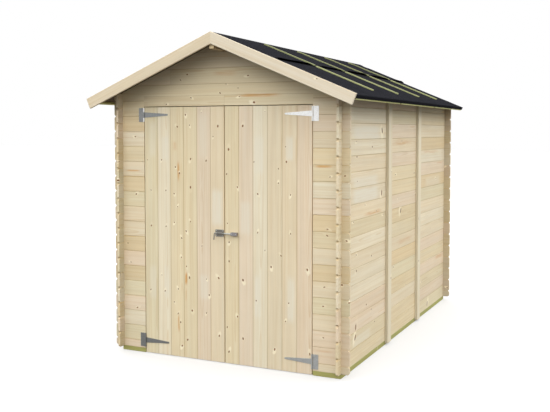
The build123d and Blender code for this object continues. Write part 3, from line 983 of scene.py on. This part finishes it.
def battens(piece, side):
    """Each batten in two lengths: one over the ridge course, one over the sheet below it."""
    height = 0.010
    lower_from, lower_to, upper_from = LAP_RUN + 0.011, LAP_RUN + 0.491, LAP_RUN - 0.450
    lengths = (
        ((lower_from, lower_to), FELT_TOP, BATTEN_TONE),
        ((upper_from, LAP_RUN), FELT_TOP + FELT, UPPER_BATTEN_PAINTED_SHADE_TONE),
    )
    for place in BATTEN_PLACES:
        rows = (place - BATTEN_WIDTH / 2, place + BATTEN_WIDTH / 2)
        for runs, foot, tone in lengths:
            slope_board(
                piece, side, runs, rows, (foot, foot + height), "x", "+z",
                tone=tone, ease=PLANED_EASE, knots=(),
            )


def share(value):
    return min(1.0, max(0.0, value))


def free_share(y, ease_length):
    """How free the felt is between the battens that press it down, from nought to one."""
    gap = min(abs(y - place) for place in BATTEN_PLACES) - BATTEN_WIDTH / 2
    return share(gap / ease_length)


def end_share(y, ease_length):
    return share(min(y - ROOF_FRONT, ROOF_REAR - y) / ease_length)


def swell(y, run, seed):
    """How far the felt stands off its boards, between the battens that press it down."""
    ease_length, height, varies = 0.08, 0.0045, 0.003
    lift = free_share(y, ease_length)
    wave = noise.noise(Vector((y * 3.1, run * 5.0, seed)))
    return end_share(y, ease_length) * lift * lift * (3 - 2 * lift) * (height + varies * wave)


def rows_along(start, end, step):
    count = round((end - start) / step)
    return [start + (end - start) * n / count for n in range(count + 1)]


def sweep_felt(piece, profile, rows, shape):
    """A sheet drawn row by row along the roof; shape(point, y) gives each place."""
    previous = None
    for y in rows:
        line = [piece.verts.new(shape(point, y)) for point in profile]
        if previous:
            for a, b, c, d in zip(previous, previous[1:], line[1:], line):
                piece.faces.new((a, b, c, d))
        previous = line


def thicken(piece):
    """Gives a sheet of felt its thickness, below the places that it was drawn through."""
    bmesh.ops.recalc_face_normals(piece, faces=piece.faces[:])
    piece.normal_update()
    top = max(piece.faces, key=lambda face: face.calc_center_median().z)
    if top.normal.z <= 0:
        bmesh.ops.reverse_faces(piece, faces=piece.faces[:])
    bmesh.ops.solidify(piece, geom=piece.faces[:], thickness=FELT)
    bmesh.ops.recalc_face_normals(piece, faces=piece.faces[:])


def lower_felt(piece, side):
    """The sheet on one slope, from under the ridge course to a lip over the eave."""
    lip, under_lap, step, bend = 0.005, 0.09, 0.032, 0.004
    eave_ease, lap_ease, least_at_lap, flat_eave = 0.12, 0.10, 0.15, 0.01
    tilt = roof_tilt(side)
    profile = [(run, FELT_TOP) for run in rows_along(LAP_RUN - under_lap, RUN, step)]
    profile += [(RUN + bend * 0.55, FELT_TOP - bend * 0.2), (RUN + FELT, FELT_TOP - bend)]
    profile += [(RUN + FELT, bend), (RUN + FELT, -lip)]

    def shape(point, y):
        run, rise = point
        if rise >= FELT_TOP and run < RUN - flat_eave:
            off_eave = share((RUN - run) / eave_ease)
            off_lap = max(least_at_lap, share((run - LAP_RUN) / lap_ease))
            rise += swell(y, run, 3.0 * side) * off_eave * off_lap
        return tilt @ Vector((side * run, y, rise))

    sweep_felt(piece, profile, rows_along(ROOF_FRONT, ROOF_REAR, step), shape)
    thicken(piece)
    fold_rear(piece, side, tilt)


def fold_rear(piece, side, tilt):
    """The felt turned down over the rear edge of the boards."""
    part = bmesh.new()
    bmesh.ops.create_cube(part, size=1.0)
    thick, below_top, ease = FELT * 0.96, 0.0005, 0.0006
    middle = side * (RUN + FELT) / 2
    scale = Matrix.Diagonal((RUN + FELT, thick, FELT_TOP - below_top, 1))
    place = Matrix.Translation((middle, ROOF_REAR + FELT / 2, FELT_TOP / 2)) @ scale
    part.transform(tilt @ place)
    cut(part, (0, 0, RIDGE), (-side, 0, 0), drop=True)
    soften(part, part.edges[:], ease)
    absorb(piece, part)


def ridge_felt(piece):
    """The course over the ridge: bent there, loose between the battens and raised at its laps."""
    bend, settle, loose_ridge = 0.007, 0.035, 0.0045
    lap_lift, lap_varies, lap_reach, more_swell = 0.008, 0.005, 0.10, 1.7
    lap_free, end_ease, ridge_ease, step, row_step = 0.14, 0.10, 0.12, 0.028, 0.030
    half = [0.0, 0.004, 0.010, 0.020] + rows_along(settle, LAP_RUN, step)
    runs = [-run for run in reversed(half[1:])] + half

    def shape(run, y):
        side = 1 if run >= 0 else -1
        away = abs(run)
        near_lap = share(1 - (LAP_RUN - away) / lap_reach)
        wave = noise.noise(Vector((y * 2.3, 4.0 * side, 8.0)))
        rise = FELT_TOP + FELT + loose_ridge * share(1 - away / settle)
        rise += more_swell * swell(y, run, 11.0) * share(away / ridge_ease)
        at_lap = near_lap ** 2 * free_share(y, lap_free) * end_share(y, end_ease)
        rise += at_lap * (lap_lift + lap_varies * wave)
        x = away * math.cos(SLOPE) + rise * math.sin(SLOPE) * min(1.0, away / settle)
        turned = (math.hypot(x, bend) - x) / 2
        z = RIDGE + rise / math.cos(SLOPE) - (x + turned) * math.tan(SLOPE)
        return Vector((side * x, y, z))

    sweep_felt(piece, runs, rows_along(ROOF_FRONT, ROOF_REAR, row_step), shape)
    thicken(piece)


def build_roof():
    for name, side in SIDES:
        make(f"{name}_roof_deck", "framing", f"roof_boards_{name}", roof_boards, side)
    for name, side in SIDES:
        make(f"{name}_eave_strips", "battens", f"eave_strip_{name}", eave_strips, side)
    for name, side in SIDES:
        make(f"{name}_barge_board", "fascia", f"fascia_{name}", barge_board, name, side)
    for name, side in SIDES:
        make(f"{name}_batten_set", "battens", f"battens_{name}", battens, side)
    for name, side in SIDES:
        make(f"{name}_felt_sheet", "roofing_felt", f"felt_{name}", lower_felt, side, sheet=True)
    make("ridge_felt_sheet", "roofing_felt", "felt_ridge", ridge_felt, sheet=True)


# Doors


LEFT_LEAF = ("sage", "pale", "straw", "straw", "rose", "cream")
RIGHT_LEAF = ("straw", "rose", "pale", "cream", "cream", "rose")


LEDGE_HEIGHT = 0.090
BRACE_RUN = 0.110
BRACE_GAP = 0.0003


def leaf_boards(piece, name, tones):
    low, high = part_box(f"{name}_door_boards")
    width = (high.x - low.x) / len(tones)
    for n, tone in enumerate(tones):
        x_from = low.x + n * width
        board(
            piece, (x_from, low.y, low.z), (x_from + width, high.y, high.z), "z", "-y",
            tone=TONES[tone], groove=DOOR_GROOVE, **FRONT_MARKS,
        )


def ledge_feet(name):
    """Heights at which a leaf's three ledges begin, the middle one behind the bolt."""
    low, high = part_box(f"{name}_door_ledges")
    bolt_low, bolt_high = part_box("bolt_case")
    return low.z, (bolt_low.z + bolt_high.z - LEDGE_HEIGHT) / 2, high.z - LEDGE_HEIGHT


def ledges(piece, name):
    low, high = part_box(f"{name}_door_ledges")
    for foot in ledge_feet(name):
        board(
            piece, (low.x, low.y, foot), (high.x, high.y, foot + LEDGE_HEIGHT), "x", "+y",
            tone=TONES["cream"], ease=SAWN_EASE,
        )


def braces(piece, name, side):
    """Braces that rise from the hinge side, sawn level at the ledges that they stand between."""
    low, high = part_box(f"{name}_door_ledges")
    hinge_end, lock_end = (low.x, high.x) if side < 0 else (high.x, low.x)
    feet = ledge_feet(name)
    for lower, upper in zip(feet, feet[1:]):
        foot, head = lower + LEDGE_HEIGHT + BRACE_GAP, upper - BRACE_GAP
        start = Vector((hinge_end - side * BRACE_RUN / 2, 0, foot))
        end = Vector((lock_end + side * BRACE_RUN / 2, 0, head))
        line = end - start
        lean = math.atan2(line.x, line.z)
        half, reach = BRACE_RUN * math.cos(lean) / 2, line.length / 2 + BRACE_RUN
        middle = (start + end) / 2 + Vector((0, low.y, 0))
        tilt = Matrix.Translation(middle) @ Matrix.Rotation(lean, 4, "Y")
        back = tilt.inverted()
        trims = [
            (back @ Vector((0, 0, level)), back.to_3x3() @ Vector((0, 0, up)))
            for level, up in ((head, 1), (foot, -1))
        ]
        board(
            piece, (-half, 0, -reach), (half, high.y - low.y, reach), "z", "+y",
            tone=TONES["straw"], tilt=tilt, ease=SLIM_EASE, trims=trims,
        )


def build_doors():
    for (name, side), tones in zip(SIDES, (LEFT_LEAF, RIGHT_LEAF)):
        body = f"{name}_door"
        make(f"{name}_leaf_boards", "door_boards", f"{body}_boards", leaf_boards, name, tones, body=body)
        make(f"{name}_leaf_ledges", "framing", f"{body}_ledges", ledges, name, body=body)
        make(f"{name}_leaf_braces", "framing", f"{body}_braces", braces, name, side, body=body)


# Ironwork

# Painted light and shade: the first four tints are one zinc made darker or brighter for the hinges, the
# brightest a painted glint
DEEP_SHADE_ZINC = Vector((0.25, 0.255, 0.25))
GLINT_ZINC = Vector((0.97, 0.97, 0.95))
SHADE_ZINC = Vector((0.32, 0.33, 0.33))
HALF_LIT_ZINC = Vector((0.50, 0.51, 0.50))
PALE_ZINC = Vector((0.60, 0.62, 0.60))
DARK_ZINC = Vector((0.27, 0.26, 0.24))
LILAC_ZINC = Vector((0.36, 0.34, 0.35))
# Painted light and shade: tints of the lower and the upper hinge of each leaf, darker or brighter by how
# lit each looks
HINGE_PAINTED_LIGHT = {"left": (DEEP_SHADE_ZINC, SHADE_ZINC), "right": (HALF_LIT_ZINC, GLINT_ZINC)}

HINGE_IRON = 0.003
KNUCKLE = 0.0055
PIN = 0.0025
KNUCKLE_GAP = 0.0005
PLATE_HEIGHT = 0.102
PLATE_FROM, PLATE_TO = 0.0062, 0.045
PLATE_CORNER = 0.004
PLATE_SCREWS = ((0.018, 0.038), (0.033, 0.014), (0.018, -0.014), (0.033, -0.038))
STRAP_HEIGHT = 0.040
STRAP_LENGTH = 0.200
STRAP_TIP = 0.012
STRAP_SCREWS = (0.030, 0.085, 0.140, 0.188)

BOLT_AXIS = FRONT - 0.013
ROD = 0.005
CASE_IRON = 0.002
CASE_CORNER = 0.006
BARREL = 0.010
BARREL_RING, BARREL_PITCH = 0.014, 0.016
SCREW_INSET = 0.008
PLATE_SCREW, STRAP_SCREW, CASE_SCREW, KEEPER_SCREW = 0.0042, 0.0040, 0.0038, 0.0036
ROD_EASE = 0.0015
RING_EASE = 0.0006
LEVER_FROM = 0.0105
LEVER_RADIUS = 0.0034
LEVER_STEM = Vector((0, -0.020, 0))
LEVER_ARM = Vector((-0.004, 0, -0.046))
KEEPER_LENGTH = 0.050
KEEPER_CORNER = 0.003
KEEPER_EASE = 0.0022
NOSE_SUNK = 0.004
HEAD_SUNK = 0.0003


def tint_part(part, tint):
    layer = part.loops.layers.float_vector["tint"]
    for face in part.faces:
        for loop in face.loops:
            loop[layer] = tint


def place_iron(piece, part, place):
    part.transform(place)
    bmesh.ops.recalc_face_normals(part, faces=part.faces[:])
    absorb(piece, part)


def iron_plate(piece, outline, thick, tint, ease=0.0005):
    """A flat iron on the front, its outline in (x, z)."""
    part = start_piece()
    plate(part, outline, thick)
    soften(part, part.edges[:], ease, 2)
    tint_part(part, tint)
    place_iron(piece, part, Matrix(((1, 0, 0, 0), (0, 0, -1, FRONT - thick), (0, 1, 0, 0), (0, 0, 0, 1))))


def round_bar(piece, start, end, radius, tint, ease=0.0006):
    start, end = Vector(start), Vector(end)
    line = end - start
    part = start_piece()
    bmesh.ops.create_cone(
        part, cap_ends=True, segments=24, radius1=radius, radius2=radius, depth=line.length
    )
    soften(part, [e for e in part.edges if lies_at(e.verts[0].co.z, e.verts[1].co.z)], ease, 2)
    tint_part(part, tint)
    turn = line.to_track_quat("Z", "Y").to_matrix().to_4x4()
    part.transform(Matrix.Translation((start + end) / 2) @ turn)
    absorb(piece, part)


def screw_head(piece, x, z, face, radius=PLATE_SCREW, tint=PALE_ZINC):
    """A domed head with its driving recess, proud of a plate whose face is given."""
    height, recess = 0.0016, 0.0010
    part = start_piece()
    bmesh.ops.create_cone(
        part, cap_ends=True, segments=14, radius1=radius, radius2=radius * 0.62, depth=height
    )
    top = max(part.faces, key=lambda f: f.calc_center_median().z)
    bmesh.ops.inset_region(part, faces=[top], thickness=radius * 0.34)
    bmesh.ops.translate(part, verts=top.verts[:], vec=(0, 0, -recess))
    tint_part(part, tint)
    turn = Matrix.Rotation(math.pi / 2, 4, "X")
    part.transform(Matrix.Translation((x, face - height / 2, z)) @ turn)
    absorb(piece, part)


def oblong(x_from, z_from, x_to, z_to):
    (x_from, x_to), (z_from, z_to) = sorted((x_from, x_to)), sorted((z_from, z_to))
    return [(x_from, z_from), (x_to, z_from), (x_to, z_to), (x_from, z_to)]


def arc(radius, steps):
    """Points (sine, cosine) of a half turn, without its two ends."""
    angles = (math.pi * n / steps for n in range(1, steps))
    return [(radius * math.sin(angle), radius * math.cos(angle)) for angle in angles]


def rounded(outline_corners, radius, steps=4):
    """Corner points with each corner turned by a small arc."""
    points = []
    count = len(outline_corners)
    for i in range(count):
        here = Vector(outline_corners[i])
        to_last = (Vector(outline_corners[i - 1]) - here).normalized()
        to_next = (Vector(outline_corners[(i + 1) % count]) - here).normalized()
        half = to_last.angle(to_next) / 2
        away = radius / math.tan(half)
        centre = here + (to_last + to_next).normalized() * (radius / math.sin(half))
        first, last = here + to_last * away - centre, here + to_next * away - centre
        for n in range(steps + 1):
            spoke = first.lerp(last, n / steps).normalized() * radius
            points.append(tuple(centre + spoke))
    return points


def wall_iron(plates, axis_x, level, side, tint, painted_glint):
    """The plate on the wall, with its two knuckles and the pin."""
    half, gap_half = PLATE_HEIGHT / 2, STRAP_HEIGHT / 2 + KNUCKLE_GAP
    near, far = axis_x + side * PLATE_FROM, axis_x + side * PLATE_TO
    outline = rounded(oblong(near, level - half, far, level + half), PLATE_CORNER)
    iron_plate(plates, outline, HINGE_IRON, tint)
    for dx, dz in PLATE_SCREWS:
        screw_head(plates, axis_x + side * dx, level + dz, FRONT - HINGE_IRON, tint=tint)
    axis_y = FRONT - KNUCKLE
    for step in (-1, 1):
        inner, outer = level + step * gap_half, level + step * half
        # The knuckles take the last tint given, a painted glint on the upper hinges
        round_bar(plates, (axis_x, axis_y, inner), (axis_x, axis_y, outer), KNUCKLE, painted_glint)
        iron_plate(plates, oblong(axis_x, inner, near, outer), HINGE_IRON, tint, 0.0002)
    round_bar(plates, (axis_x, axis_y, level - half), (axis_x, axis_y, level + half), PIN, tint)


def strap_iron(straps, axis_x, level, side, tint):
    """The strap on the door, tapered to a round tip, with its knuckle."""
    end_x, axis_y = axis_x - side * STRAP_LENGTH, FRONT - KNUCKLE
    root, tip = STRAP_HEIGHT / 2, STRAP_TIP / 2
    shape = [(axis_x, level - root), (axis_x, level + root), (end_x, level + tip)]
    shape += [(end_x - side * dx, level + dz) for dx, dz in arc(tip, 8)] + [(end_x, level - tip)]
    if side < 0:
        shape.reverse()
    iron_plate(straps, shape, HINGE_IRON, tint)
    round_bar(straps, (axis_x, axis_y, level - root), (axis_x, axis_y, level + root), KNUCKLE, tint)
    for along in STRAP_SCREWS:
        screw_head(straps, axis_x - side * along, level, FRONT - HINGE_IRON, STRAP_SCREW, tint)


def hinges(name, side):
    """Where the lower and the upper hinge of a leaf are, and their tints of painted light and shade."""
    low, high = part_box(f"{name}_hinge_straps")
    axis_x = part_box(f"{name}_hinge_plates")[0 if side > 0 else 1].x + side * KNUCKLE
    levels = (low.z + STRAP_HEIGHT / 2, high.z - STRAP_HEIGHT / 2)
    return [(axis_x, level, side, tint) for level, tint in zip(levels, HINGE_PAINTED_LIGHT[name])]


def wall_irons(piece, name, side):
    lower, upper = hinges(name, side)
    wall_iron(piece, *lower, lower[-1])
    # The upper hinge's knuckles get a painted glint
    wall_iron(piece, *upper, GLINT_ZINC)


def strap_irons(piece, name, side):
    for hinge in hinges(name, side):
        strap_iron(piece, *hinge)


def lever(piece, start, stem, arm, radius, tint):
    """The bolt's handle: a stem out of the rod and an arm bent down from it."""
    bend = radius * 1.9
    part = start_piece()
    bmesh.ops.create_circle(part, cap_ends=False, segments=16, radius=radius)
    turn = stem.to_track_quat("Z", "Y").to_matrix().to_4x4()
    part.transform(Matrix.Translation(start) @ turn)
    straight = stem - stem.normalized() * bend
    grown = bmesh.ops.extrude_edge_only(part, edges=part.edges[:])["geom"]
    ring, edges = only(grown, bmesh.types.BMVert), only(grown, bmesh.types.BMEdge)
    bmesh.ops.translate(part, verts=ring, vec=straight)
    turned = bmesh.ops.spin(
        part, geom=edges + ring, cent=start + straight + arm.normalized() * bend,
        axis=stem.cross(arm).normalized(), angle=stem.angle(arm), steps=7, use_merge=False,
    )
    grown = bmesh.ops.extrude_edge_only(part, edges=only(turned["geom_last"], bmesh.types.BMEdge))["geom"]
    rest_of_arm = arm - arm.normalized() * bend
    bmesh.ops.translate(part, verts=only(grown, bmesh.types.BMVert), vec=rest_of_arm)
    bmesh.ops.remove_doubles(part, verts=part.verts[:], dist=CLOSE)
    bmesh.ops.holes_fill(part, edges=[e for e in part.edges if e.is_boundary])
    tint_part(part, tint)
    place_iron(piece, part, Matrix())


def bolt_barrel(case, level):
    """The bolt's plate, with three rings that the rod runs in."""
    low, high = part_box("bolt_case")
    iron_plate(case, rounded(oblong(low.x, low.z, high.x, high.z), CASE_CORNER), CASE_IRON, DARK_ZINC)
    for x in (low.x + SCREW_INSET, high.x - SCREW_INSET):
        for z in (low.z + SCREW_INSET, high.z - SCREW_INSET):
            screw_head(case, x, z, FRONT - CASE_IRON, CASE_SCREW)
    foot = FRONT - CASE_IRON
    arch = [(foot, -BARREL), (BOLT_AXIS, -BARREL)]
    arch += [(BOLT_AXIS - dy, -dz) for dy, dz in arc(BARREL, 12)]
    arch += [(BOLT_AXIS, BARREL), (foot, BARREL)]
    for n in (2, 1, 0):
        end = high.x - CASE_CORNER / 2 - BARREL_PITCH * n
        part = start_piece()
        plate(part, arch, BARREL_RING)
        soften(part, part.edges[:], RING_EASE, 2)
        tint_part(part, DARK_ZINC)
        place_iron(case, part, Matrix(((0, 0, 1, end), (1, 0, 0, 0), (0, 1, 0, level), (0, 0, 0, 1))))


def bolt_bar(slide, level):
    low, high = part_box("bolt_rod")
    round_bar(slide, (low.x, BOLT_AXIS, level), (high.x, BOLT_AXIS, level), ROD, PALE_ZINC, ROD_EASE)
    start = Vector((low.x + LEVER_FROM, BOLT_AXIS, level))
    lever(slide, start, LEVER_STEM, LEVER_ARM, LEVER_RADIUS, DARK_ZINC)


def bolt_catch(keeper, level):
    low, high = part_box("bolt_keeper")
    depth, block_from = FRONT - low.y, high.x - KEEPER_LENGTH
    outline = rounded(oblong(block_from, low.z, high.x, high.z), KEEPER_CORNER)
    iron_plate(keeper, outline, depth, LILAC_ZINC, KEEPER_EASE)
    for x in (high.x - SCREW_INSET, block_from + SCREW_INSET):
        screw_head(keeper, x, level, FRONT - depth + HEAD_SUNK, KEEPER_SCREW)
    nose, root = (low.x, BOLT_AXIS, level), (block_from + NOSE_SUNK, BOLT_AXIS, level)
    round_bar(keeper, nose, root, ROD, PALE_ZINC)


def build_irons():
    slot = "galvanised_steel"
    for name, side in SIDES:
        plates, straps = f"{name}_hinge_plates", f"{name}_hinge_straps"
        make(f"{name}_wall_irons", slot, plates, wall_irons, name, side)
        make(f"{name}_strap_irons", slot, straps, strap_irons, name, side, body=f"{name}_door")
    low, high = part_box("bolt_case")
    level = (low.z + high.z) / 2
    make("bolt_barrel", slot, "bolt_case", bolt_barrel, level, body="left_door")
    make("bolt_bar", slot, "bolt_rod", bolt_bar, level, body="bolt")
    make("bolt_catch", slot, "bolt_keeper", bolt_catch, level, body="right_door")


# Studio

FLOOR_REACH = 60.0
LAMP_SIZE = 18.0
LAMP_POWER = 850
LAMP_PLACE = (0.5, -1.5, 7.5)


def ray(tree, kind):
    """One for a ray of this kind, nought for any other."""
    return node(tree, "ShaderNodeLightPath", {}, kind)


def looking_ray(tree):
    """One for a ray that shows things, straight or in a gloss, nought for one that lights them."""
    return ray(tree, "Is Camera Ray").maths("MAXIMUM", ray(tree, "Is Glossy Ray"))


def build_world():
    """An even light with a brighter band above the horizon, and plain white to look at."""
    world = bpy.data.worlds.new("studio")
    bpy.context.scene.world = world
    world.use_nodes = True
    tree = world.node_tree
    tree.nodes.clear()
    output = tree.nodes.new("ShaderNodeOutputWorld")
    ground_glow, band_glow, overhead_drop = 0.50, 2.35, 1.25
    band_from, overhead_from = (0.16, 0.34), (0.58, 0.74)
    height = node(tree, "ShaderNodeTexCoord", {}, "Generated").part(2)
    glow = height.spread(*band_from, ground_glow, band_glow)
    glow = glow - height.spread(*overhead_from, 0.0, overhead_drop)
    shown = looking_ray(tree).maths("MAXIMUM", ray(tree, "Is Transmission Ray"))
    strength = node(tree, "ShaderNodeMix", {0: shown, 2: glow, 3: 1.0})
    sky = node(tree, "ShaderNodeBackground", {"Color": (1.0, 1.0, 1.0, 1.0), "Strength": strength})
    tree.links.new(sky.socket, output.inputs["Surface"])


def pale_floor():
    """Near white to look at, with the shed's shadow kept, and dull to the light that it returns."""
    material, tree, shader = start_material("pale_floor")
    returned, seen_tone, own_glow = 0.075, 0.45, 0.38
    tone = ray(tree, "Is Camera Ray").spread(0.0, 1.0, returned, seen_tone)
    colour = node(tree, "ShaderNodeCombineColor", {0: tone, 1: tone, 2: tone})
    feed(tree, shader, {"Base Color": colour, "Roughness": 0.9})
    glow = node(tree, "ShaderNodeEmission", {"Color": (1, 1, 1, 1), "Strength": own_glow})
    plain = Wire(tree, shader.outputs["BSDF"])
    glowing = node(tree, "ShaderNodeAddShader", {0: plain, 1: glow})
    chosen = node(tree, "ShaderNodeMixShader", {0: looking_ray(tree), 1: plain, 2: glowing})
    output = next(made for made in tree.nodes if made.type == "OUTPUT_MATERIAL")
    tree.links.new(chosen.socket, output.inputs["Surface"])
    return material


def build_floor():
    floor = bmesh.new()
    bmesh.ops.create_grid(floor, x_segments=1, y_segments=1, size=FLOOR_REACH)
    mesh = bpy.data.meshes.new("floor")
    floor.to_mesh(mesh)
    floor.free()
    mesh.materials.append(pale_floor())
    ground = bpy.data.objects.new("floor", mesh)
    bpy.context.scene.collection.objects.link(ground)


def build_lamp():
    lamp = bpy.data.lights.new("overhead_softbox", "AREA")
    lamp.size = LAMP_SIZE
    lamp.energy = LAMP_POWER
    holder = bpy.data.objects.new("overhead_softbox", lamp)
    holder.location = LAMP_PLACE
    bpy.context.scene.collection.objects.link(holder)
    bpy.context.scene.view_settings.view_transform = "Standard"


build_world()
build_floor()
build_lamp()
build_walls()
build_frame()
build_roof()
build_doors()
build_irons()
